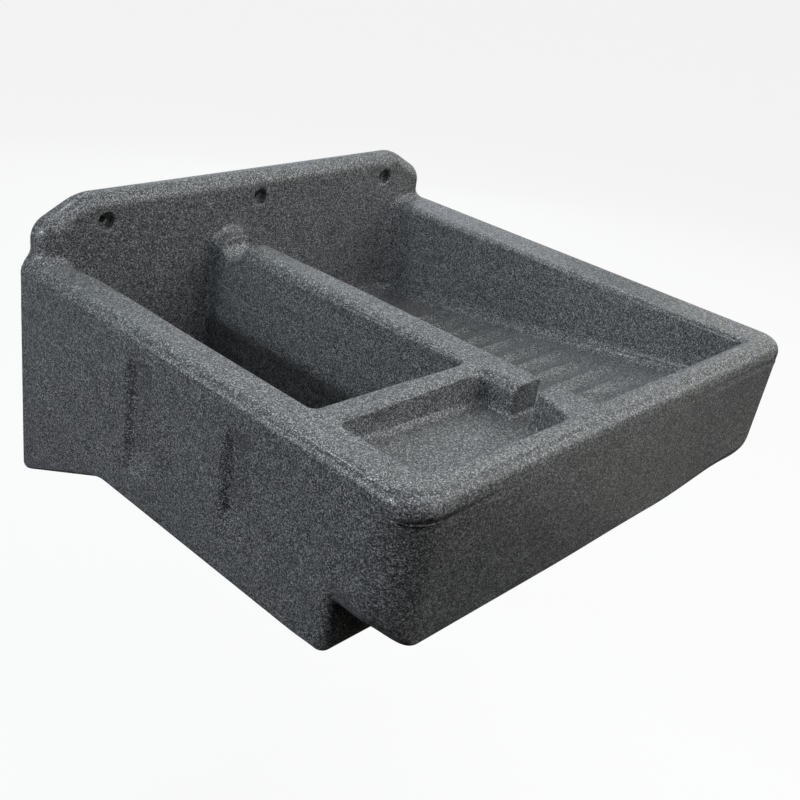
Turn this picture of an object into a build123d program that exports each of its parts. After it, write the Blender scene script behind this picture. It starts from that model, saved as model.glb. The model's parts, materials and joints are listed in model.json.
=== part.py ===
from build123d import *
import math
import os

# Wall-hung laundry sink: one hollow double-skinned plastic moulding with a deep tub
# on the left, a soap tray in front of it and a wide washboard basin on the right,
# plus a screwed waste fitting under each basin and a rubber plug for the tub.
# Millimetres, +Z up, +X right, +Y towards the wall.  The wall is the plane y = 0.
# Heights below are given from the rim top; everything is moved at the end so that the
# origin is the middle wall screw on the wall plane.

# ---- driving dimensions ------------------------------------------------------------
W = 750.0            # overall width
D = 707.0            # wall to front of rim
SCREW_Z = 45.0       # wall screw line above the rim top
SCREW_PITCH = 266.0  # screw to screw
SCREW_R = 4.5        # clearance hole
SCREW_CB_R = 12.0    # recess for head and washer
SCREW_CB_DEPTH = 12.0
T = 5.0              # skin thickness round the sealed air space
SKIN_DENSITY = 0.95  # kg per litre of polyethylene

RIM_DROP = 21.0      # rim top to parting line
RIM_R = 16.0         # outer round of the rim
RIM_CORNER = 38.0    # plan radius at the two front corners
STEP = 4.0           # front skirt set back under the rim
SKIRT_Z = -184.5     # underside of the skirt and of the washboard side
SKIRT_SIDE_R = 56.0  # large round between the side walls and the underside
SKIRT_FRONT_R = 9.0  # small round under the front wall
SKIRT_DRAFT = 6.0    # front skirt leans back by this over its height
SKIRT_CORNER = 44.0

SPLASH_HALF = 361.5
SPLASH_TOP = 83.0
SPLASH_T = 34.0

TUB_BOX_Z = -235.5   # underside of the tub
TUB_BOX_Y = -614.0   # its front face
TUB_BOX_X = -60.0    # its right face
FOOT_Z = -319.4      # where the leg underside meets the wall plane, before the heel is rounded
HEEL_R = 11.0
FOOT_Y = -189.0      # where the left leg runs into the tub underside
FOOT_W = 45.0        # leg thickness along X

TUB_F = -212.0       # tub floor at the waste
WASH_F = -160.0      # washboard basin floor at the waste
WASH_Z0 = -163.0     # washboard floor plane: z = WASH_Z0 - WASH_SLOPE * y
WASH_SLOPE = 0.1428
RIB_N = 10
RIB_PITCH = 40.4
RIB_Y0 = -197.0
RIB_R = 13.0
RIB_H = 5.0

TUB_DRAIN = (-202.5, -150.0)
WASH_DRAIN = (141.0, -92.0)

# waste fitting, heights measured down from the floor it sits in
FLANGE_R = 35.0
FLANGE_T = 3.0
SEAT = 5.0           # seat below the floor
BOSS_T = 11.0        # clamped thickness
BODY_R = 23.9        # threaded tail, plain here
HOLE_R = 25.0
BODY_END = 63.0
TAIL_END = 100.0
TAIL_FREE = 29.0     # length of tailpiece left clear for a slip joint
TAIL_R = 19.05
TAIL_WALL = 1.6
BOSS_R = 50.0


def offset_poly(pts, g):
    """Convex counter-clockwise polygon with every side moved out by g."""
    n = len(pts)
    lines = []
    for i in range(n):
        (x0, y0), (x1, y1) = pts[i], pts[(i + 1) % n]
        dx, dy = x1 - x0, y1 - y0
        ln = math.hypot(dx, dy)
        nx, ny = dy / ln, -dx / ln
        lines.append((x0 + nx * g, y0 + ny * g, dx / ln, dy / ln))
    out = []
    for i in range(n):
        x0, y0, ax, ay = lines[i - 1]
        x1, y1, bx, by = lines[i]
        det = ax * by - ay * bx
        t = ((x1 - x0) * by - (y1 - y0) * bx) / det
        out.append((x0 + ax * t, y0 + ay * t))
    return out


def rounded(pts, radii, plane):
    """Face on plane from a polygon whose corners have the given radii (0 keeps a corner sharp)."""
    n = len(pts)
    cut = []
    for i in range(n):
        p, a, b = pts[i], pts[i - 1], pts[(i + 1) % n]
        r = radii[i]
        ua = ((a[0] - p[0]), (a[1] - p[1]))
        ub = ((b[0] - p[0]), (b[1] - p[1]))
        la, lb = math.hypot(*ua), math.hypot(*ub)
        ua = (ua[0] / la, ua[1] / la)
        ub = (ub[0] / lb, ub[1] / lb)
        if r <= 0:
            cut.append((p, p, p))
            continue
        half = math.acos(max(-1, min(1, ua[0] * ub[0] + ua[1] * ub[1]))) / 2
        t = r / math.tan(half)
        s = (p[0] + ua[0] * t, p[1] + ua[1] * t)
        e = (p[0] + ub[0] * t, p[1] + ub[1] * t)
        bis = (ua[0] + ub[0], ua[1] + ub[1])
        lbis = math.hypot(*bis)
        c = r / math.sin(half)
        m = (p[0] + bis[0] / lbis * (c - r), p[1] + bis[1] / lbis * (c - r))
        cut.append((s, m, e))
    edges = []
    for i in range(n):
        s, m, e = cut[i]
        if s != e:
            edges.append(Edge.make_three_point_arc(
                plane.from_local_coords((s[0], s[1], 0)),
                plane.from_local_coords((m[0], m[1], 0)),
                plane.from_local_coords((e[0], e[1], 0))))
        nxt = cut[(i + 1) % n][0]
        if math.hypot(nxt[0] - e[0], nxt[1] - e[1]) > 1e-6:
            edges.append(Edge.make_line(
                plane.from_local_coords((e[0], e[1], 0)),
                plane.from_local_coords((nxt[0], nxt[1], 0))))
    return Face(Wire(edges))


def level(z):
    return Plane(origin=(0, 0, z), x_dir=(1, 0, 0), z_dir=(0, 0, 1))


def taper(top, bottom, radii, z_top, z_bottom, radii_bottom=None):
    """Solid between two polygons of the same number of corners."""
    return Solid.make_loft(
        [rounded(top, radii, level(z_top)).outer_wire(),
         rounded(bottom, radii_bottom or radii, level(z_bottom)).outer_wire()],
        True)


def box(x0, x1, y0, y1, z0, z1):
    return Pos((x0 + x1) / 2, (y0 + y1) / 2, (z0 + z1) / 2) * Box(x1 - x0, y1 - y0, z1 - z0)


def prism_x(pts, x0, x1):
    """Polygon in Y, Z pushed along X."""
    face = Face(Wire.make_polygon([(x0, y, z) for y, z in pts], close=True))
    return Solid.extrude(face, Vector(x1 - x0, 0, 0))


def cyl(x, y, r, z0, z1):
    return Pos(x, y, (z0 + z1) / 2) * Cylinder(r, z1 - z0)


def cyl_y(x, z, r, y0, y1):
    return Pos(x, (y0 + y1) / 2, z) * Rot(90, 0, 0) * Cylinder(r, y1 - y0)


def try_fillet(part, edges, radius, what):
    """Round the edges; halve the radius if the corner can't take it."""
    edges = list(edges)
    for r in (radius, radius * 0.75, radius * 0.5, radius * 0.3):
        try:
            out = part.fillet(r, edges)
            if out.is_valid and abs(out.volume) > 0:
                print(f"fillet {what}: r {r:.1f} on {len(edges)} edges")
                return out
        except Exception:
            continue
    print(f"fillet {what}: left sharp")
    return part


def near(edge, x=None, y=None, z=None, tol=0.6):
    b = edge.bounding_box()
    for v, lo, hi in ((x, b.min.X, b.max.X), (y, b.min.Y, b.max.Y), (z, b.min.Z, b.max.Z)):
        if v is not None and (abs(lo - v) > tol or abs(hi - v) > tol):
            return False
    return True


def as_solid(shape):
    s = shape.solids()
    return max(s, key=lambda q: q.volume)


# ---- the two basins, the tray and the two gaps, as solids to take away ----------------
def wash_floor_z(y):
    return WASH_Z0 - WASH_SLOPE * y


def lip(top, radii, size=3.0):
    """Broken inner edge of the rim round a basin; it stops at the upstand."""
    flare = taper(offset_poly(top, size + 1.0), offset_poly(top, -1.5),
                  [r + size + 1.0 for r in radii], 1.0, -size - 1.5, [r - 1.5 for r in radii])
    return flare & box(-400, 400, -800, -SPLASH_T, -60, 2)


TUB_TOP = [(-320, -505), (-85, -512), (-85, -SPLASH_T), (-320, -SPLASH_T)]
TUB_R = [10, 12, 18, 18]
TRAY_TOP = [(-325, -667.5), (-85, -667.5), (-85, -544), (-325, -544)]
TRAY_R = [24, 8, 8, 20]
WASH_TOP = [(-38.5, -668), (320, -668), (320, -SPLASH_T), (-38.5, -SPLASH_T)]
WASH_R = [20, 12, 34, 34]


def tub_cut(g=0.0):
    top = offset_poly(TUB_TOP, g)
    low = offset_poly([(-314, -499), (-91, -506), (-91, -SPLASH_T), (-314, -SPLASH_T)], g)
    r = [q + g for q in TUB_R]
    s = taper(top, low, r, 0.0 if g == 0 else 20.0, TUB_F - g, [20 + g] * 4)
    if g == 0:
        s = try_fillet(s, [e for e in s.edges() if near(e, z=TUB_F)], 24, "tub floor")
    return s


def tray_cut(g=0.0):
    top = offset_poly(TRAY_TOP, g)
    low = offset_poly([(-321, -662), (-85, -662), (-85, -550), (-321, -550)], g)
    r = [q + g for q in TRAY_R]
    s = taper(top, low, r, 0.0 if g == 0 else 20.0, -46.0 - g)
    # floor falls from the left end to the gap
    under = Pos(-325, -600, -30 - g) * Rot(0, math.degrees(math.atan(10 / 240)), 0) * \
        (Pos(150, 0, -50) * Box(700, 300, 100))
    s = as_solid(s - under)
    if g == 0:
        s = try_fillet(s, [e for e in s.edges() if e.bounding_box().max.Z < -20], 12, "tray floor")
    return s


def gap_cut(g=0.0):
    """Pour-over gap across the divider, from the tray into the washboard basin."""
    return prism_x([(-593 + g, 30), (-594 + g, -41 - g), (-617 - g, -41 - g), (-618 - g, 30)],
                   -88 - g, -10 + g)


def notch_cut(g=0.0):
    """Overflow notch in the divider beside the splashback."""
    pts = [(-54 + g, 20), (-66 + g * 0.7, -16 - g * 0.7), (-72, -23 - g), (-84, -23 - g),
           (-90 - g * 0.7, -16 - g * 0.7), (-102 - g, 20)]
    s = prism_x(pts, -120 - g, -5 + g)
    if g == 0:
        s = try_fillet(s, [e for e in s.edges() if e.bounding_box().min.Z < -15
                           and e.bounding_box().size.X > 50], 6, "notch")
    return s


def wash_cut(g=0.0):
    top = offset_poly(WASH_TOP, g)
    low = offset_poly([(-31, -640), (311, -640), (311, -SPLASH_T), (-31, -SPLASH_T)], g)
    s = taper(top, low, [q + g for q in WASH_R], 0.0 if g == 0 else 20.0, -190.0 - g,
              [24 + g, 24 + g, 38 + g, 38 + g])
    # everything under the sloping floor stays
    a = math.degrees(math.atan(-WASH_SLOPE))
    under = Pos(0, 0, WASH_Z0 - g) * Rot(a, 0, 0) * (Pos(140, -300, -100) * Box(700, 1000, 200))
    s = as_solid(s - under)
    if g == 0:
        s = try_fillet(s, [e for e in s.edges() if e.bounding_box().max.Z < -60
                           and e.bounding_box().size.X + e.bounding_box().size.Y > 20
                           and abs(e.center().Z - wash_floor_z(e.center().Y)) < 4],
                       26, "wash floor")
        # rounded rubbing ribs across the floor
        for k in range(RIB_N):
            y = RIB_Y0 - RIB_PITCH * k
            zc = wash_floor_z(y) + RIB_H - RIB_R
            xr = 276 - 3.6 * k
            bar = Pos((0 + xr) / 2, y, zc) * Rot(0, 90, 0) * Cylinder(RIB_R, xr - 0)
            ends = [Pos(x, y, zc) * Sphere(RIB_R) for x in (0, xr)]
            for b in [bar] + ends:
                s = s - b
        s = as_solid(s)
    return s


def channel(side, y0, y1, g=0.0):
    """Shallow upright stiffening recess in a side wall, 5 mm deep."""
    x = side * W / 2
    yz = Plane(origin=(x + side * 1.0, (y0 + y1) / 2, -113), x_dir=(0, 1, 0), z_dir=(-side, 0, 0))
    h, w = 150 / 2 + g, abs(y1 - y0) / 2 + g
    outer = rounded([(-w, -h), (w, -h), (w, h), (-w, h)], [8] * 4, yz)
    w2, h2 = w - 4, h - 4
    inner_plane = Plane(origin=(x - side * (5.0 + g), (y0 + y1) / 2, -113), x_dir=(0, 1, 0),
                        z_dir=(-side, 0, 0))
    inner = rounded([(-w2, -h2), (w2, -h2), (w2, h2), (-w2, h2)], [8] * 4, inner_plane)
    return Solid.make_loft([outer.outer_wire(), inner.outer_wire()], True)


CHANNELS = [(side, y0, y1) for side in (-1, 1) for y0, y1 in ((-298, -247), (-477, -427))]


# ---- outer form --------------------------------------------------------------------
def skirt(g=0.0):
    h = W / 2 - g
    top = [(-h, -D + STEP + g), (h, -D + STEP + g), (h, -g), (-h, -g)]
    low = [(-h, -D + STEP + SKIRT_DRAFT + g), (h, -D + STEP + SKIRT_DRAFT + g), (h, -g), (-h, -g)]
    r = [SKIRT_CORNER - g, SKIRT_CORNER - g, 5, 5]
    z_top = -RIM_DROP + 1 if g == 0 else -RIM_DROP - 1
    s = taper(top, low, r, z_top, SKIRT_Z + g)
    # rounds under the two sides and under the front, from the section across and the section along
    zb = SKIRT_Z + g
    across = rounded([(-h, zb), (h, zb), (h, 50), (-h, 50)], [SKIRT_SIDE_R - g] * 2 + [0, 0],
                     Plane(origin=(0, 20, 0), x_dir=(1, 0, 0), z_dir=(0, -1, 0)))
    s = s & Solid.extrude(across, Vector(0, -D - 60, 0))
    yf = -D + STEP + SKIRT_DRAFT * 0.9 + g
    along = rounded([(yf, zb), (60, zb), (60, 50), (yf - 40, 50), (yf - 7, zb + 60)],
                    [max(SKIRT_FRONT_R - g, 2.0), 0, 0, 0, 0],
                    Plane(origin=(-500, 0, 0), x_dir=(0, 1, 0), z_dir=(1, 0, 0)))
    s = s & Solid.extrude(along, Vector(1000, 0, 0))
    return as_solid(s)


def splash_pts(g=0.0):
    return offset_poly([(-SPLASH_HALF, -RIM_DROP), (SPLASH_HALF, -RIM_DROP), (SPLASH_HALF, 44.8),
                        (293, SPLASH_TOP), (-293, SPLASH_TOP), (-SPLASH_HALF, 44.8)], -g)


def splash(g=0.0):
    plane = Plane(origin=(0, -g, 0), x_dir=(1, 0, 0), z_dir=(0, -1, 0))
    face = rounded(splash_pts(g), [0, 0, 35 - g, 80 - g, 80 - g, 35 - g], plane)
    return Solid.extrude(face, Vector(0, -(SPLASH_T - 2 * g), 0))


def leg(side, g=0.0):
    x_out, x_in = side * (W / 2 - g), side * (W / 2 - FOOT_W + g)
    y1 = FOOT_Y if side < 0 else FOOT_Y * (FOOT_Z - SKIRT_Z) / (FOOT_Z - TUB_BOX_Z)
    z1 = TUB_BOX_Z if side < 0 else SKIRT_Z
    up = 30.0
    pts = [(-g, z1 + up), (-g, FOOT_Z + g * 3.2), (y1 + g * 2.6, z1 + g), (y1 + g * 2.6, z1 + up)]
    return prism_x(pts, min(x_out, x_in), max(x_out, x_in))


def outer_form():
    rim = taper([(-W / 2, -D), (W / 2, -D), (W / 2, 0), (-W / 2, 0)],
                [(-W / 2, -D), (W / 2, -D), (W / 2, 0), (-W / 2, 0)],
                [RIM_CORNER, RIM_CORNER, 5, 5], 0.0, -RIM_DROP)
    rim = try_fillet(rim, [e for e in rim.edges() if near(e, z=0) and e.bounding_box().min.Y < -7],
                     RIM_R, "rim top")
    sk = skirt()
    sp = splash()
    sp = try_fillet(sp, [e for e in sp.edges() if (near(e, y=-SPLASH_T) or near(e, y=0))
                         and e.bounding_box().max.Z > -RIM_DROP + 5], 11, "splashback")
    tub = taper([(-W / 2, TUB_BOX_Y), (TUB_BOX_X, TUB_BOX_Y), (TUB_BOX_X, 0), (-W / 2, 0)],
                [(-W / 2, TUB_BOX_Y), (TUB_BOX_X, TUB_BOX_Y), (TUB_BOX_X, 0), (-W / 2, 0)],
                [8, 10, 5, 5], SKIRT_Z + 60, TUB_BOX_Z)
    tub = try_fillet(tub, [e for e in tub.edges() if near(e, z=TUB_BOX_Z) and not near(e, y=0)
                           and e.length > 9], 10, "tub underside")
    body = rim + sk + sp + tub
    for side in (-1, 1):
        lg = leg(side)
        if side > 0:
            lg = lg + box(W / 2 - FOOT_W, W / 2, FOOT_Y, 0, SKIRT_Z, SKIRT_Z + 70)
            lg = as_solid(lg)
        lg = try_fillet(lg, [e for e in lg.edges() if near(e, y=0, z=FOOT_Z)], HEEL_R, "leg heel")
        lg = try_fillet(lg, [e for e in lg.edges()
                             if e.bounding_box().min.Z < (TUB_BOX_Z if side < 0 else SKIRT_Z) - 1
                             and e.bounding_box().size.X < 1], 9, "leg underside")
        body = body + lg
    return body


def cavity():
    """The air space between the two skins."""
    inset = 13.0
    h = W / 2 - inset
    rim = taper([(-h, -D + inset), (h, -D + inset), (h, -T), (-h, -T)],
                [(-h, -D + inset), (h, -D + inset), (h, -T), (-h, -T)],
                [RIM_CORNER - inset, RIM_CORNER - inset, 5, 5], -T, -RIM_DROP - 2)
    c = skirt(T) + rim + splash(T)
    c = c + box(-W / 2 + T, TUB_BOX_X - T, TUB_BOX_Y + T, -T, TUB_BOX_Z + T, SKIRT_Z + 60)
    for side in (-1, 1):
        c = c + leg(side, T)
    for s in (tub_cut(T), tray_cut(T), gap_cut(T), notch_cut(T), wash_cut(T)):
        c = c - s
    for side, y0, y1 in CHANNELS:
        c = c - channel(side, y0, y1, T)
    for k in (-1, 0, 1):
        c = c - cyl_y(k * SCREW_PITCH, SCREW_Z, SCREW_CB_R + T, -SPLASH_T, 0)
    for (x, y), f, z in ((TUB_DRAIN, TUB_F, TUB_BOX_Z), (WASH_DRAIN, WASH_F, SKIRT_Z)):
        c = c - cyl(x, y, BOSS_R + T + 3, z - 1, f + 12)
    return [s for s in c.solids() if s.volume > 20000]


def sink_body():
    body = outer_form()
    for s in (tub_cut(), tray_cut(), gap_cut(), notch_cut(), wash_cut()):
        body = body - s
    for side, y0, y1 in CHANNELS:
        body = body - channel(side, y0, y1)
    for top, radii in ((TUB_TOP, TUB_R), (TRAY_TOP, TRAY_R), (WASH_TOP, WASH_R)):
        body = body - lip(top, radii)
    body = as_solid(body)
    print("outer form volume", round(body.volume / 1e6, 3), "litres, faces", len(body.faces()))
    # screw recesses
    for k in (-1, 0, 1):
        x = k * SCREW_PITCH
        body = body - cyl_y(x, SCREW_Z, SCREW_R, -SPLASH_T - 5, 5)
        body = body - cyl_y(x, SCREW_Z, SCREW_CB_R, -SPLASH_T - 5, -SPLASH_T + SCREW_CB_DEPTH)
        body = body - (Pos(x, -SPLASH_T, SCREW_Z) * Rot(90, 0, 0)
                       * Cone(SCREW_CB_R - 0.5, SCREW_CB_R + 3.5, 4.0))
    # waste seats
    for (x, y), f, z in ((TUB_DRAIN, TUB_F, TUB_BOX_Z), (WASH_DRAIN, WASH_F, SKIRT_Z)):
        body = body - cyl(x, y, HOLE_R, z - 5, f + 30)
        body = body - cyl(x, y, FLANGE_R + 1.0, f - SEAT, f + 30) - cyl(x, y, BOSS_R, z - 5, f - SEAT - BOSS_T)
        if f == WASH_F:
            body = body - (Pos(x, y, f + 9) * Cone(FLANGE_R + 5.0, FLANGE_R + 32.0, 18))
    body = as_solid(body)
    # the sealed air space stays filled in the solid; it only counts for the mass
    air = sum(v.volume for v in cavity())
    litres = (body.volume - air) / 1e6
    print(f"moulding {body.volume / 1e6:.2f} litres, of which air {air / 1e6:.2f}; "
          f"skin {litres:.2f} litres, {litres * SKIN_DENSITY:.1f} kg")
    return body


# ---- waste fittings ------------------------------------------------------------------
def ring(x, y, r_out, r_in, z0, z1):
    return cyl(x, y, r_out, z0, z1) - cyl(x, y, r_in, z0 - 1, z1 + 1)


def waste_body(x, y, f):
    """Flanged strainer body: dished flange, cross-bar grid and straight tail."""
    zf = f - SEAT + 2.0                      # underside of the flange, on its gasket
    s = cyl(x, y, FLANGE_R, zf, zf + FLANGE_T) + cyl(x, y, BODY_R, f - BODY_END, zf + 0.5)
    s = try_fillet(as_solid(s), [e for e in as_solid(s).edges() if near(e, z=zf + FLANGE_T)], 1.6,
                   "waste flange")
    s = s - cyl(x, y, 20.0, f - BODY_END - 1, f + 5)
    s = s - (Pos(x, y, zf + FLANGE_T - 5) * Cone(20.0, 24.0, 10))
    zg = f - 20.0
    for a in (0, 60, 120):
        s = s + (Pos(x, y, zg) * Rot(0, 0, a) * Box(2 * 20.6, 2.6, 4.0))
    s = s + ring(x, y, 8.0, 5.4, zg - 2, zg + 2)
    return as_solid(s)


def lock_nut(x, y, z1, h, r_in):
    """Flanged ring with eight turning lugs."""
    s = cyl(x, y, 36.0, z1 - 3.0, z1) + cyl(x, y, 30.0, z1 - h, z1)
    for i in range(8):
        s = s + (Pos(x, y, z1 - h / 2) * Rot(0, 0, 45 * i) * Pos(31.5, 0, 0) * Box(7, 6, h))
    s = as_solid(s)
    s = s - cyl(x, y, r_in, z1 - h - 1, z1 + 1)
    return as_solid(s)


def coupling_nut(x, y, z1, z0, lip):
    """Slip nut: ribbed skirt that grips the tail thread, inward lip under the tailpiece collar."""
    s = cyl(x, y, 28.5, z0, z1)
    for i in range(12):
        s = s + (Pos(x, y, (z0 + z1) / 2) * Rot(0, 0, 30 * i) * Pos(28.6, 0, 0) * Box(2.4, 4.0, z1 - z0))
    s = as_solid(s) - cyl(x, y, BODY_R + 0.1, z0 + lip, z1 + 1) - cyl(x, y, TAIL_R + 0.4, z0 - 1, z1 + 1)
    return as_solid(s)


def tailpiece(x, y, z1, z0):
    s = cyl(x, y, TAIL_R, z0, z0 + TAIL_FREE) + cyl(x, y, TAIL_R - 0.35, z0 + TAIL_FREE - 1.0, z1)
    s = s + cyl(x, y, 22.5, z1 - 2.5, z1)
    s = as_solid(s) - cyl(x, y, TAIL_R - TAIL_WALL, z0 - 1, z1 + 1)
    return as_solid(s)


def waste_set(prefix, x, y, f):
    seat = f - SEAT
    under = seat - BOSS_T
    body_end = f - BODY_END
    return {
        prefix + "waste_body": waste_body(x, y, f),
        prefix + "flange_gasket": ring(x, y, FLANGE_R - 0.5, HOLE_R + 0.5, seat, seat + 2.0),
        prefix + "under_gasket": ring(x, y, 34.0, BODY_R + 0.1, under - 3.0, under),
        prefix + "friction_washer": ring(x, y, 35.0, BODY_R + 0.2, under - 4.5, under - 3.0),
        prefix + "lock_nut": lock_nut(x, y, under - 4.5, 12.0, BODY_R + 0.1),
        prefix + "tail_washer": ring(x, y, 22.5, 17.8, body_end - 1.5, body_end),
        prefix + "tailpiece": tailpiece(x, y, body_end - 1.5, f - TAIL_END),
        prefix + "coupling_nut": coupling_nut(x, y, body_end + 13.0, body_end - 7.0, 3.0),
    }


def stopper(x, y, f):
    """Tapered rubber plug with a moulded grip, resting in the mouth of the tub waste."""
    r0, r1 = 20.4, 22.0
    z_seat = f - 4.5
    plug = Pos(x, y, (f - 9.0 + f + 1.0) / 2) * Cone(r0 - 1.4, r1 + 0.3, 10.0)
    cap = cyl(x, y, 25.5, f + 0.3, f + 4.0)
    cap = try_fillet(as_solid(cap), [e for e in as_solid(cap).edges() if near(e, z=f + 4.0)], 1.8, "plug rim")
    stem = cyl(x, y, 4.5, f + 3.5, f + 12.0)
    knob = cyl(x, y, 9.0, f + 11.0, f + 17.0)
    knob = try_fillet(as_solid(knob), as_solid(knob).edges(), 2.4, "plug grip")
    return as_solid(plug + cap + stem + knob)


def main():
    os.makedirs("parts", exist_ok=True)
    nodes = {"sink_body": sink_body()}
    nodes.update(waste_set("tub_", *TUB_DRAIN, TUB_F))
    nodes.update(waste_set("wash_", *WASH_DRAIN, WASH_F))
    nodes["tub_plug"] = stopper(*TUB_DRAIN, TUB_F)
    shift = Pos(0, 0, -SCREW_Z)
    for name, shape in nodes.items():
        out = shift * shape
        export_step(out, f"parts/{name}.step")
        b = out.bounding_box()
        print(f"{name}: {len(out.solids())} solid, {abs(out.volume) / 1000:.1f} cm3, "
              f"z {b.min.Z:.1f} to {b.max.Z:.1f}")


main()
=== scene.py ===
import json
import math

import bpy
import numpy as np
from mathutils import Matrix, Vector


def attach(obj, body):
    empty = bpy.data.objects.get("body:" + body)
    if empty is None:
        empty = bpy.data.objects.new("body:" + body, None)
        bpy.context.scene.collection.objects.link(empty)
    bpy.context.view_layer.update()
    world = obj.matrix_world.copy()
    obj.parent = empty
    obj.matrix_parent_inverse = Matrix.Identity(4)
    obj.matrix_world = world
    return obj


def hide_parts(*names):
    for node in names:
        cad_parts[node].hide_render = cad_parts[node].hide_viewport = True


# Wall-hung laundry sink in speckled plastic.  Lengths in the shape functions below are in
# millimetres from the rim top (z = 0) at the wall (y = 0); the model's own origin is the
# middle wall screw, 45 mm higher.

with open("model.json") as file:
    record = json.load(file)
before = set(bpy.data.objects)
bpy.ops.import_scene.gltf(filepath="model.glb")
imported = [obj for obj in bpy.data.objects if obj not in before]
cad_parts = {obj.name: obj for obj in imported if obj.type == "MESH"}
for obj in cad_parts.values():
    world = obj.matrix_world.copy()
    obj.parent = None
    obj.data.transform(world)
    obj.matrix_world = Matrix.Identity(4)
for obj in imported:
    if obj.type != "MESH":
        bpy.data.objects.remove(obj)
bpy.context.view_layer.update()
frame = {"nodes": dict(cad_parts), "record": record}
UP = 45.0

# ---------------------------------------------------------------- camera
ROWS = ((0.71829, -0.68629, 0.11432), (-0.23819, -0.39695, -0.88639), (0.6537, 0.60946, -0.4486))
right = Vector(ROWS[0]).normalized()
back = -Vector(ROWS[2])
back = (back - right * back.dot(right)).normalized()
up = back.cross(right)
cam_data = bpy.data.cameras.new("camera")
cam_data.sensor_width = 36.0
cam_data.lens = 1102.6433 * 36.0 / 800.0
cam_data.shift_x = (400.0 - 339.967) / 800.0
cam_data.shift_y = (389.915 - 400.0) / 800.0
cam_data.clip_start, cam_data.clip_end = 0.05, 60.0
cam = bpy.data.objects.new("camera", cam_data)
cam.matrix_world = Matrix((
    (right.x, up.x, back.x, -1.05187342),
    (right.y, up.y, back.y, -1.22363853),
    (right.z, up.z, back.z, 0.53804141 - UP / 1000.0),
    (0, 0, 0, 1)))
bpy.context.scene.collection.objects.link(cam)
bpy.context.scene.camera = cam


# ---------------------------------------------------------------- shape of the moulding
def rmax(a, b, r):
    """Both, with the square edge between them rounded to radius r."""
    return np.minimum(-r, np.maximum(a, b)) + np.hypot(np.maximum(a + r, 0), np.maximum(b + r, 0))


def rmin(a, b, r):
    """Either, with the square corner between them filled to radius r."""
    return np.maximum(r, np.minimum(a, b)) - np.hypot(np.maximum(r - a, 0), np.maximum(r - b, 0))


def rmax_slant(a, b, r, c):
    """As rmax, for two planes whose outward normals have cosine c between them."""
    p, q = a + r, b + r
    arc = np.sqrt(np.maximum(p * p + q * q - 2 * p * q * c, 0) / (1 - c * c)) - r
    return np.where((p > q * c) & (q > p * c), arc, np.maximum(a, b))


def ramp(v, a, b):
    """0 at a, 1 at b, smooth between."""
    t = np.clip((v - a) / (b - a), 0, 1)
    return t * t * (3 - 2 * t)


def table(v, xs, ys):
    return np.interp(v, xs, ys).astype(np.float64)


def side_recess(y, z):
    """How deep the two upright recesses in a side wall are, 0 to 1."""
    out = 0.0
    for y0, y1, z0, z1 in ((-298.0, -243.0, -190.0, -34.0), (-478.0, -427.0, -177.0, -42.0)):
        across = ramp(y, y0, y0 + 8.0) * ramp(y, y1, y1 - 14.0)
        along = ramp(z, z0 - 14.0, z0 + 40.0) * ramp(z, z1 + 6.0, z1 - 26.0)
        out = out + across * along
    return out


def below_rim(x, y, z):
    """Rim, skirt, tub box and side legs, without the upstand and before the basins."""
    sx = np.abs(x)
    a, b = sx - 375.0, -707.0 - y
    plan = rmax(a, b, 40.0 - 5.0 * ramp(x, 0.0, 300.0))
    at_front = ramp(b - a, -30.0, 8.0)
    r_out = 16.0 + 7.0 * ramp(y, -60.0, -5.0) + 5.0 * at_front
    rim = rmax(plan, z, r_out)
    rim = rmax(rim, -30.0 - z, 9.0 + 4.0 * at_front)
    # skirt: flush with the rim at the sides, set back and leaning at the front
    to_right = ramp(x, 250.0, 372.0)
    back_set = 3.9 - 3.65 * ramp(x, -340.0, -240.0) + 0.25 * ramp(x, 0.0, 120.0)
    lean = (9.7 - 3.8 * to_right - back_set) / 151.0 * np.maximum(-30.0 - z, 0)
    # thin bead of the parting line, just under the rim's lower edge
    front = ramp(y, -560.0, -640.0)
    at_corner = ramp(a - b, -36.0, -14.0)
    proud = -0.3 + 0.75 * ramp(x, -20.0, 120.0) + 0.5 * ramp(x, -200.0, -320.0) + 0.9 * at_corner * ramp(x, 100.0, -100.0)
    bead = rmax(plan + 0.7 + (back_set - 0.7 - proud) * front, np.abs(z + 30.0) - 1.3, 1.1)
    sa = sx - 374.8
    sb = -707.0 + back_set + lean - y
    wall = rmax(sa, sb, 50.0 - 16.0 * to_right)
    corner = ramp(sa - sb, -52.0, 24.0)
    r_front = 7.0 + 22.0 * ramp(x, 120.0, 330.0)
    r_side = 56.0 - 6.0 * ramp(y, -540.0, -640.0) * ramp(x, 0.0, -300.0)
    r_low = r_front + (r_side - r_front) * corner
    z_low = -184.5 - 4.5 * ramp(x, 120.0, -120.0) * (1 - corner)
    skirt = rmax(wall, z_low - z, r_low)
    s = rmin(rim, rmax(skirt, z, 17.5), 0.25 + (0.1 + back_set) * at_front)
    s = rmin(s, bead, 0.8)
    # tub box
    t = rmax(-375.0 - x, -614.0 - y, 13.0)
    t = rmax(t, x + 60.0, 12.0)
    t = rmax(t, -235.4 - z, 7.0 + 3.0 * ramp(y, -560.0, -600.0))
    s = rmin(s, np.maximum(t, z + 60.0), 3.0)
    # side legs against the wall
    slope = (313.2 - 229.0) / 189.0
    k = 1.0 / math.hypot(1.0, slope)
    line = (-319.4 - slope * y - z) * k
    heel = rmax_slant(line, y, 11.0, -slope * k)
    for side in (-1, 1):
        g = np.maximum(rmax(side * x - 375.0, line, 7.0), rmax(330.0 - side * x, line, 9.0))
        g = np.maximum(np.maximum(g, heel), z + 60.0)
        s = rmin(s, g, 4.0)
    s = np.maximum(s, sx - 375.0 + 9.5 * side_recess(y, z))
    return np.maximum(s, y)


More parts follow.
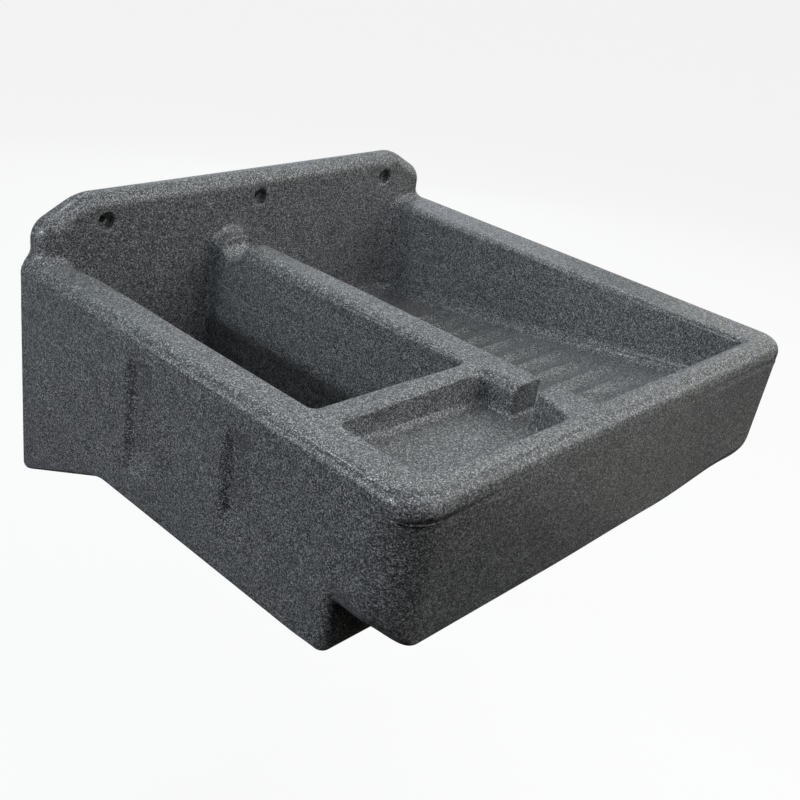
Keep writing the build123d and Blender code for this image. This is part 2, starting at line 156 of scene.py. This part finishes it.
def upstand(x, y, z):
    sx = np.abs(x)
    nx, nz = 0.4874, 0.8732
    slant = (sx - 361.5) * nx + (z - 44.8) * nz
    u = rmax_slant(sx - 361.5, slant, 32.0, nx)
    u = np.maximum(u, rmax_slant(slant, z - 82.2, 76.0, nz))
    r_edge = 21.0 + 2.0 * ramp(sx, 250.0, 355.0)
    u = rmax(u, -34.0 - y, r_edge)
    u = rmax(u, y, 11.0 - 7.0 * ramp(sx, 260.0, 350.0))
    return np.maximum(u, -30.0 - z)


def wash_floor(x, y):
    base = -163.0 - 0.1428 * y
    k = np.clip(np.round((y + 197.0) / -40.4), 0, 9)
    off = y + 197.0 + 40.4 * k
    xr = 281.0 - 4.0 * k
    ends = ramp(x, -16.0, 4.0) * ramp(x, xr + 8.0, xr - 16.0)
    return base + 5.2 * np.exp(-(off / 9.5) ** 2) * ends


def tub_cut(x, y, z):
    """Tub, running on through the back wall."""
    d = -z
    left = -321.2 - 1.7 * ramp(y, -180.0, -300.0) + 0.028 * d - x
    rgt = x + 85.0 + 0.028 * d
    frt = (-513.0 - 0.035 * (x + 213.0) + 0.03 * d) - y
    c = rmax(np.maximum(left, rgt), frt, 10.0)
    return rmax(c, -212.0 - z, 24.0)


def tray_floor(x):
    return -30.0 - 0.0417 * (x + 325.0)


def tray_cut(x, y, z):
    d = -z
    left = -321.0 + 0.10 * d - x
    along = np.clip((-617.0 - y) / 45.0, 0, 1)
    rgt = np.where(y < -605.0, x + 73.0 + 17.0 * along + 0.2 * d, x + 85.0)
    frt = -671.6 - 0.023 * (x + 205.0) + 0.13 * d - y
    bck = y + 544.5 + 0.13 * d
    c = np.maximum(rmax(left, frt, 24.0), rmax(left, bck, 11.0))
    c = np.maximum(c, np.maximum(rmax(rgt, bck, 7.0), rmax(rgt, frt, 9.0)))
    return rmax(c, tray_floor(x) - z, 9.0)


def wash_cut(x, y, z):
    """Washboard basin, running on through the back wall."""
    d = -z
    left = -35.5 - x
    # the right wall leans in more towards the front
    top = table(y, [-672, -604, -476, -335, -200, -100, -34], [309.0, 306.0, 304.5, 300.5, 297.0, 298.0, 300.0])
    foot = table(y, [-672, -604, -545, -447, -333, -233, -34], [304.0, 300.0, 295.0, 288.5, 289.5, 291.0, 291.0])
    rgt = x - top - (foot - top) * np.clip(d / (163.0 + 0.1428 * y), -0.3, 1.3)
    frt = -672.0 + 0.15 * d - y
    c = np.maximum(rmax(left, frt, 20.0), rmax(rgt, frt, 7.0))
    r_low = 18.0 - 2.0 * ramp(y, -500.0, -600.0) * ramp(x, 150.0, 290.0)
    return rmax(c, wash_floor(x, y) - z, r_low)


def notch_cut(x, y, z):
    """Round-bottomed overflow notch across the divider."""
    v = np.where(z > -5.0, np.abs(y + 77.0), np.hypot(y + 77.0, z + 5.0)) - 20.0
    return np.maximum(v, np.maximum(-112.0 - x, x + 12.0))


def gap_cut(x, y, z):
    v = rmax(rmax(-617.5 - y, y + 593.5, 2.0), tray_floor(x) - z, 7.0)
    return np.maximum(v, np.maximum(-92.0 - x, x + 14.0))


def moulding(x, y, z):
    plain = below_rim(x, y, z)
    # tub
    near_div = ramp(x, -200.0, -140.0)
    r = table(y, [-300, -180, -105, -68, -32], [5, 6, 8, 17, 29]) * (1 - near_div) \
        + table(y, [-500, -440, -324, -200, -110], [8, 12, 17, 20, 24]) * near_div
    s = rmax(plain, -tub_cut(x, y, z), r)
    # washboard basin
    to_right = ramp(x, 60.0, 180.0)
    r = table(y, [-625, -612, -590, -500, -300, -103], [4.5, 6, 6, 8, 6, 13]) * (1 - to_right) \
        + table(y, [-620, -470, -335, -200, -100], [10.0, 9, 8, 11, 16]) * to_right
    s = rmax(s, -wash_cut(x, y, z), r)
    # back wall of both basins, straight below the front of the upstand
    r_low = 18.0 - 13.0 * ramp(x, -165.0, -115.0) + 17.0 * ramp(x, -70.0, -50.0) + 13.0 * ramp(x, 120.0, 260.0)
    s = rmin(s, -34.0 - y, 14.0 + (r_low - 14.0) * ramp(z, -4.0, -50.0))
    s = np.maximum(s, np.maximum(rmin(plain, upstand(x, y, z), 14.0), y))
    # tray, gap and notch
    by_div = ramp(x, -112.0, -92.0) * ramp(y, -612.0, -600.0)
    by_stub = ramp(x, -112.0, -95.0) * ramp(y, -606.0, -613.0)
    s = rmax(s, -tray_cut(x, y, z), 5.5 + 10.5 * by_div - 0.5 * by_stub)
    s = rmax(s, -gap_cut(x, y, z), 2.2)
    s = rmax(s, -notch_cut(x, y, z), 4.0)
    # screw recesses
    for k in (-1, 0, 1):
        rad = np.hypot(x - 266.0 * k, z - 45.0)
        s = rmax(s, -rmax(rad - 12.0, y + 22.0, 1.5), 2.2)
        s = np.maximum(s, 4.5 - rad)
    # waste seats
    for cx, cy, f in ((-202.5, -150.0, -212.0), (141.0, -92.0, -160.0)):
        rad = np.hypot(x - cx, y - cy)
        seat = np.maximum(rad - 36.0, f - 5.0 - z)
        if f > -200:
            bowl = (rad - 40.0 - (z - f) * 1.45) * 0.57
            seat = np.minimum(seat, rmax(bowl, f - z, 1.0))
        s = rmax(s, -np.maximum(seat, z - f - 30.0), 1.5)
        s = np.maximum(s, -np.maximum(rad - 25.0, z - f))
        s = rmax(s, -np.maximum(rad - 50.0, z - (f - 16.0)), 1.2)
    return s


# ---------------------------------------------------------------- surface from the shape
def ticks(*runs):
    """Grid lines: each run is (from, to, about how far apart)."""
    out = [np.array([runs[0][0]])]
    for a, b, step in runs:
        n = max(1, int(round((b - a) / step)))
        out.append(np.linspace(a, b, n + 1)[1:])
    return np.concatenate(out)


def surface(shape, xs, ys, zs):
    """Closed quad mesh of shape = 0 on a grid of uneven lines, moved onto the exact surface."""
    nx, ny, nz = len(xs), len(ys), len(zs)
    f = np.empty((nx, ny, nz), np.float64)
    for i in range(0, nx, 16):
        f[i:i + 16] = shape(xs[i:i + 16, None, None], ys[None, :, None], zs[None, None, :])
    f[np.abs(f) < 1e-6] = 1e-6
    inside = f < 0
    cells = (nx - 1, ny - 1, nz - 1)
    total = cells[0] * cells[1] * cells[2]
    sums = np.zeros((total, 3))
    count = np.zeros(total)
    lines = (xs, ys, zs)
    quads = []
    for axis in range(3):
        lo = [slice(None)] * 3
        hi = [slice(None)] * 3
        lo[axis], hi[axis] = slice(0, -1), slice(1, None)
        cross = inside[tuple(lo)] != inside[tuple(hi)]
        idx = np.argwhere(cross)
        if not len(idx):
            continue
        j = idx.copy()
        j[:, axis] += 1
        fa = f[idx[:, 0], idx[:, 1], idx[:, 2]]
        fb = f[j[:, 0], j[:, 1], j[:, 2]]
        t = fa / (fa - fb)
        p = np.stack([lines[k][idx[:, k]] for k in range(3)], 1)
        step = lines[axis][j[:, axis]] - lines[axis][idx[:, axis]]
        p[:, axis] += t * step
        u, v = [k for k in range(3) if k != axis]
        ok = np.ones(len(idx), bool)
        around = []
        for du, dv in ((0, 0), (-1, 0), (-1, -1), (0, -1)):
            c = idx.copy()
            c[:, u] += du
            c[:, v] += dv
            good = (c >= 0).all(1) & (c < np.array(cells)).all(1)
            ok &= good
            cc = np.clip(c, 0, np.array(cells) - 1)
            flat = (cc[:, 0] * cells[1] + cc[:, 1]) * cells[2] + cc[:, 2]
            around.append(flat)
            w = flat[good]
            for k in range(3):
                sums[:, k] += np.bincount(w, p[good, k], total)
            count += np.bincount(w, minlength=total)
        q = np.stack(around, 1)[ok]
        flip = (fa[ok] < 0) ^ (axis == 1)
        q[~flip] = q[~flip][:, ::-1]
        quads.append(q)
    used = count > 0
    number = np.full(total, -1)
    number[used] = np.arange(used.sum())
    verts = sums[used] / count[used, None]
    faces = number[np.concatenate(quads)]
    for _ in range(4):
        d, n = value_and_normal(shape, verts)
        verts = verts - np.clip(d, -1.2, 1.2)[:, None] * n
    d, n = value_and_normal(shape, verts)
    verts = np.clip(verts, (-375.0, -707.0, -313.4), (375.0, 0.0, 83.0))
    return verts, faces, n


def value_and_normal(shape, p, h=0.12):
    d = shape(p[:, 0], p[:, 1], p[:, 2])
    g = np.stack([
        shape(p[:, 0] + h, p[:, 1], p[:, 2]) - shape(p[:, 0] - h, p[:, 1], p[:, 2]),
        shape(p[:, 0], p[:, 1] + h, p[:, 2]) - shape(p[:, 0], p[:, 1] - h, p[:, 2]),
        shape(p[:, 0], p[:, 1], p[:, 2] + h) - shape(p[:, 0], p[:, 1], p[:, 2] - h)], 1) / (2 * h)
    size = np.linalg.norm(g, axis=1)
    size = np.maximum(size, 0.3)
    return d / size, g / size[:, None]


def make_mesh(name, verts, faces, normals=None):
    """verts in millimetres from the rim top."""
    co = verts / 1000.0
    co[:, 2] -= UP / 1000.0
    me = bpy.data.meshes.new(name)
    me.vertices.add(len(co))
    me.vertices.foreach_set("co", co.astype(np.float32).ravel())
    me.loops.add(faces.size)
    me.loops.foreach_set("vertex_index", faces.astype(np.int32).ravel())
    me.polygons.add(len(faces))
    me.polygons.foreach_set("loop_start", np.arange(0, faces.size, faces.shape[1], dtype=np.int32))
    me.update(calc_edges=True)
    me.validate()
    me.polygons.foreach_set("use_smooth", np.ones(len(me.polygons), bool))
    if normals is not None:
        me.normals_split_custom_set_from_vertices([tuple(v) for v in normals])
    ob = bpy.data.objects.new(name, me)
    bpy.context.scene.collection.objects.link(ob)
    return ob


XS = ticks((-379, -350, 2.4), (-350, -300, 3.4), (-300, -110, 6.5), (-110, -20, 3.0),
           (-20, 290, 7.0), (290, 350, 3.4), (350, 379, 2.4))
YS = ticks((-711, -655, 2.8), (-655, -585, 3.2), (-585, -560, 4.0), (-560, -504, 3.2),
           (-504, -480, 4.2), (-480, -425, 2.4), (-425, -300, 4.4), (-300, -241, 2.4),
           (-241, -110, 4.4), (-110, -30, 3.0), (-30, 3.0, 2.6))
ZS = ticks((-318, -240, 4.5), (-240, -205, 3.0), (-205, -150, 3.6), (-150, -50, 5.0),
           (-50, -28, 3.0), (-28, 4, 2.0), (4, 30, 3.2), (30, 87, 3.0))
verts, faces, normals = surface(moulding, XS, YS, ZS)
print("moulding:", len(verts), "points", len(faces), "faces")
sink = make_mesh("sink_moulding", verts, faces, normals)
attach(sink, "sink")
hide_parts("sink_body")


# ---------------------------------------------------------------- materials
def new_material(name):
    m = bpy.data.materials.new(name)
    m.use_nodes = True
    nt = m.node_tree
    nt.nodes.clear()
    out = nt.nodes.new("ShaderNodeOutputMaterial")
    bsdf = nt.nodes.new("ShaderNodeBsdfPrincipled")
    nt.links.new(bsdf.outputs[0], out.inputs["Surface"])
    return m, nt, bsdf


def srgb(v):
    v = v / 255.0
    return v / 12.92 if v <= 0.04045 else ((v + 0.055) / 1.055) ** 2.4


def ramp_node(nt, stops, interpolation="LINEAR"):
    n = nt.nodes.new("ShaderNodeValToRGB")
    n.color_ramp.interpolation = interpolation
    el = n.color_ramp.elements
    while len(el) < len(stops):
        el.new(0.5)
    for e, (p, c) in zip(el, stops):
        e.position = p
        e.color = c if len(c) == 4 else (*c, 1.0)
    return n


def granite():
    """Moulded granules: pale, mid and dark grains about 1 mm across in grey plastic."""
    m, nt, bsdf = new_material("speckled_plastic")
    tc = nt.nodes.new("ShaderNodeTexCoord")
    # slightly wandering coordinates, so that the grains are not cut by straight planes
    wob = nt.nodes.new("ShaderNodeTexNoise")
    wob.inputs["Scale"].default_value = 700.0
    wob.inputs["Detail"].default_value = 1.0
    nt.links.new(tc.outputs["Object"], wob.inputs["Vector"])
    shift = nt.nodes.new("ShaderNodeVectorMath")
    shift.operation = "MULTIPLY_ADD"
    shift.inputs[1].default_value = (0.0005, 0.0005, 0.0005)
    nt.links.new(wob.outputs["Color"], shift.inputs[0])
    nt.links.new(tc.outputs["Object"], shift.inputs[2])
    grain = nt.nodes.new("ShaderNodeTexVoronoi")
    grain.feature = "F1"
    grain.inputs["Scale"].default_value = 900.0
    nt.links.new(shift.outputs[0], grain.inputs["Vector"])
    part = nt.nodes.new("ShaderNodeSeparateColor")
    nt.links.new(grain.outputs["Color"], part.inputs["Color"])
    tone = ramp_node(nt, [(0.0, (0.017, 0.017, 0.018)), (0.3, (0.057, 0.059, 0.060)),
                          (0.55, (0.132, 0.135, 0.138)), (0.8, (0.276, 0.279, 0.284)),
                          (1.0, (0.644, 0.647, 0.653))])
    nt.links.new(part.outputs[0], tone.inputs["Fac"])
    # slow mottling and a finer powder between the grains
    fine = nt.nodes.new("ShaderNodeTexNoise")
    fine.inputs["Scale"].default_value = 1500.0
    fine.inputs["Detail"].default_value = 2.0
    nt.links.new(tc.outputs["Object"], fine.inputs["Vector"])
    powder = ramp_node(nt, [(0.3, (0.78, 0.78, 0.78)), (0.7, (1.2, 1.2, 1.2))])
    nt.links.new(fine.outputs["Fac"], powder.inputs["Fac"])
    slow = nt.nodes.new("ShaderNodeTexNoise")
    slow.inputs["Scale"].default_value = 22.0
    slow.inputs["Detail"].default_value = 3.0
    nt.links.new(tc.outputs["Object"], slow.inputs["Vector"])
    mottle = ramp_node(nt, [(0.3, (0.95, 0.95, 0.95)), (0.7, (1.05, 1.05, 1.05))])
    nt.links.new(slow.outputs["Fac"], mottle.inputs["Fac"])
    m1 = nt.nodes.new("ShaderNodeMix")
    m1.data_type, m1.blend_type = "RGBA", "MULTIPLY"
    m1.inputs["Factor"].default_value = 1.0
    nt.links.new(tone.outputs["Color"], m1.inputs["A"])
    nt.links.new(powder.outputs["Color"], m1.inputs["B"])
    m2 = nt.nodes.new("ShaderNodeMix")
    m2.data_type, m2.blend_type = "RGBA", "MULTIPLY"
    m2.inputs["Factor"].default_value = 1.0
    nt.links.new(m1.outputs["Result"], m2.inputs["A"])
    nt.links.new(mottle.outputs["Color"], m2.inputs["B"])
    nt.links.new(m2.outputs["Result"], bsdf.inputs["Base Color"])
    bsdf.inputs["Roughness"].default_value = 0.4
    bsdf.inputs["Coat Weight"].default_value = 0.25
    bsdf.inputs["Coat Roughness"].default_value = 0.15
    # fine pebbled moulding texture
    bump = nt.nodes.new("ShaderNodeBump")
    bump.inputs["Strength"].default_value = 0.25
    bump.inputs["Distance"].default_value = 0.0004
    peel = nt.nodes.new("ShaderNodeTexNoise")
    peel.inputs["Scale"].default_value = 450.0
    peel.inputs["Detail"].default_value = 2.0
    nt.links.new(tc.outputs["Object"], peel.inputs["Vector"])
    nt.links.new(peel.outputs["Fac"], bump.inputs["Height"])
    nt.links.new(bump.outputs["Normal"], bsdf.inputs["Normal"])
    return m


stone = granite()
sink.data.materials.append(stone)


def moulded(name, dark, light, rough, pits, grain):
    """Injection-moulded plastic or rubber: flow mottling, fine surface texture, uneven gloss."""
    m, nt, bsdf = new_material(name)
    tc = nt.nodes.new("ShaderNodeTexCoord")
    flow = nt.nodes.new("ShaderNodeTexNoise")
    flow.inputs["Scale"].default_value = 70.0
    flow.inputs["Detail"].default_value = 5.0
    flow.inputs["Distortion"].default_value = 0.6
    nt.links.new(tc.outputs["Object"], flow.inputs["Vector"])
    tone = ramp_node(nt, [(0.28, dark), (0.5, tuple((a + b) / 2 for a, b in zip(dark, light))),
                          (0.74, light)])
    nt.links.new(flow.outputs["Fac"], tone.inputs["Fac"])
    # dust and scuffs: small darker specks
    speck = nt.nodes.new("ShaderNodeTexVoronoi")
    speck.inputs["Scale"].default_value = grain
    nt.links.new(tc.outputs["Object"], speck.inputs["Vector"])
    cut = ramp_node(nt, [(0.0, (0.82, 0.82, 0.82)), (0.16, (0.97, 0.97, 0.97)), (0.4, (1.0, 1.0, 1.0))])
    nt.links.new(speck.outputs["Distance"], cut.inputs["Fac"])
    mix = nt.nodes.new("ShaderNodeMix")
    mix.data_type, mix.blend_type = "RGBA", "MULTIPLY"
    mix.inputs["Factor"].default_value = 1.0
    nt.links.new(tone.outputs["Color"], mix.inputs["A"])
    nt.links.new(cut.outputs["Color"], mix.inputs["B"])
    nt.links.new(mix.outputs["Result"], bsdf.inputs["Base Color"])
    gloss = ramp_node(nt, [(0.3, (rough - 0.06,) * 3), (0.7, (rough + 0.08,) * 3)])
    nt.links.new(flow.outputs["Fac"], gloss.inputs["Fac"])
    nt.links.new(gloss.outputs["Color"], bsdf.inputs["Roughness"])
    skin = nt.nodes.new("ShaderNodeTexNoise")
    skin.inputs["Scale"].default_value = 900.0
    skin.inputs["Detail"].default_value = 2.0
    nt.links.new(tc.outputs["Object"], skin.inputs["Vector"])
    bump = nt.nodes.new("ShaderNodeBump")
    bump.inputs["Strength"].default_value = pits
    bump.inputs["Distance"].default_value = 0.0002
    nt.links.new(skin.outputs["Fac"], bump.inputs["Height"])
    nt.links.new(bump.outputs["Normal"], bsdf.inputs["Normal"])
    return m


LOOK = {
    "fitting_plastic": moulded("fitting_plastic", (0.66, 0.66, 0.63), (0.8, 0.8, 0.78), 0.3, 0.12, 300.0),
    "nut_plastic": moulded("nut_plastic", (0.58, 0.58, 0.56), (0.72, 0.72, 0.7), 0.36, 0.2, 260.0),
    "gasket_rubber": moulded("gasket_rubber", (0.014, 0.014, 0.015), (0.032, 0.032, 0.033), 0.66, 0.4, 500.0),
    "slip_washer": moulded("slip_washer", (0.36, 0.32, 0.24), (0.54, 0.49, 0.39), 0.62, 0.5, 700.0),
    "plug_rubber": moulded("plug_rubber", (0.020, 0.020, 0.021), (0.045, 0.045, 0.046), 0.48, 0.3, 400.0),
}
slot_of = {s["node"]: s["material_slot"] for s in frame["record"].get("subparts", [])}
for name, ob in frame["nodes"].items():
    if name == "sink_body":
        continue
    look = LOOK.get(slot_of.get(name, ""), LOOK["fitting_plastic"])
    ob.data.materials.clear()
    ob.data.materials.append(look)

# ---------------------------------------------------------------- floor and light
bpy.context.scene.view_settings.view_transform = "Standard"
# the sink hangs on a wall, so the floor is well below it and takes only a faint soft shadow
bpy.ops.mesh.primitive_plane_add(size=80.0, location=(0, 0, -0.90))
floor = bpy.context.object
floor.name = "floor"
fm, fnt, fb = new_material("floor")
fb.inputs["Base Color"].default_value = (0.12, 0.12, 0.12, 1)
fb.inputs["Roughness"].default_value = 0.9
fb.inputs["Specular IOR Level"].default_value = 0.0
fb.inputs["Emission Color"].default_value = (1.0, 1.0, 1.0, 1)
fb.inputs["Emission Strength"].default_value = 0.89
floor.data.materials.append(fm)
floor.visible_diffuse = False
floor.visible_glossy = False

world = bpy.data.worlds.new("studio")
bpy.context.scene.world = world
world.use_nodes = True
wn = world.node_tree
wn.nodes.clear()
w_out = wn.nodes.new("ShaderNodeOutputWorld")
bg = wn.nodes.new("ShaderNodeBackground")
wn.links.new(bg.outputs[0], w_out.inputs["Surface"])
bg.inputs["Color"].default_value = (0.94, 0.94, 0.94, 1)
bg.inputs["Strength"].default_value = 1.0
# the even studio backdrop is only seen; the soft boxes light the sink
for kind in ("diffuse", "glossy", "transmission", "scatter"):
    setattr(world.cycles_visibility, kind, False)



def area(name, at, to, size, power, colour=(1, 1, 1)):
    d = bpy.data.lights.new(name, "AREA")
    d.shape = "RECTANGLE"
    d.size, d.size_y = size
    d.energy = power
    d.color = colour
    o = bpy.data.objects.new(name, d)
    o.location = at
    o.rotation_mode = "QUATERNION"
    o.rotation_quaternion = (Vector(to) - Vector(at)).to_track_quat("-Z", "Y")
    o.visible_camera = False
    bpy.context.scene.collection.objects.link(o)
    return o


for name, at, size, rgb in (
        ("key_left", (-2.72, -0.26, 1.12), 0.25, (0.367, 0.428, 0.478)),
        ("key_left_c", (-2.66, 0.22, 1.12), 0.25, (0.655, 0.722, 0.766)),
        ("left_low", (-2.99, -0.35, 0.11), 2.20, (0.196, 0.147, 0.143)),
        ("left_near", (-1.60, 0.50, 0.30), 0.80, (0.180, 0.190, 0.197)),
        ("back_right", (3.09, 0.77, 1.05), 3.00, (0.275, 0.295, 0.344)),
        ("behind", (1.12, 2.74, 1.05), 3.00, (0.602, 0.646, 0.735)),
        ("horizon", (2.45, 2.10, 0.34), 2.00, (0.368, 0.394, 0.421)),
        ("right", (3.29, -0.35, 1.05), 2.50, (0.633, 0.633, 0.558)),
        ("behind_high", (0.00, 1.77, 1.97), 2.00, (0.056, 0.104, 0.091)),
        ("back_high", (1.36, 1.01, 2.15), 2.00, (0.363, 0.399, 0.365)),
        ("front_right", (1.74, -2.09, 1.57), 2.20, (1.272, 1.320, 1.370)),
        ("front_right_near", (1.30, -1.60, 0.30), 0.80, (0.065, 0.073, 0.051)),
        ("front_low_right", (1.50, -1.70, -0.85), 1.00, (0.056, 0.053, 0.050)),
        ("front", (-0.00, -2.81, 1.57), 2.20, (0.476, 0.452, 0.422)),
        ("over_front", (-0.00, -1.62, 2.57), 2.20, (1.070, 1.120, 1.211)),
        ("over_right", (1.00, -0.10, 1.20), 0.80, (0.130, 0.134, 0.131)),
        ("glint", (-0.60, 0.66, 1.67), 0.20, (0.165, 0.168, 0.172)),
        ("over_back", (0.15, 0.90, 1.60), 0.50, (0.050, 0.051, 0.054))):
    area(name, at, (0, -0.35, -0.15), (size, size), 20.0 * max(rgb), tuple(c / max(rgb) for c in rgb))

bpy.context.view_layer.update()
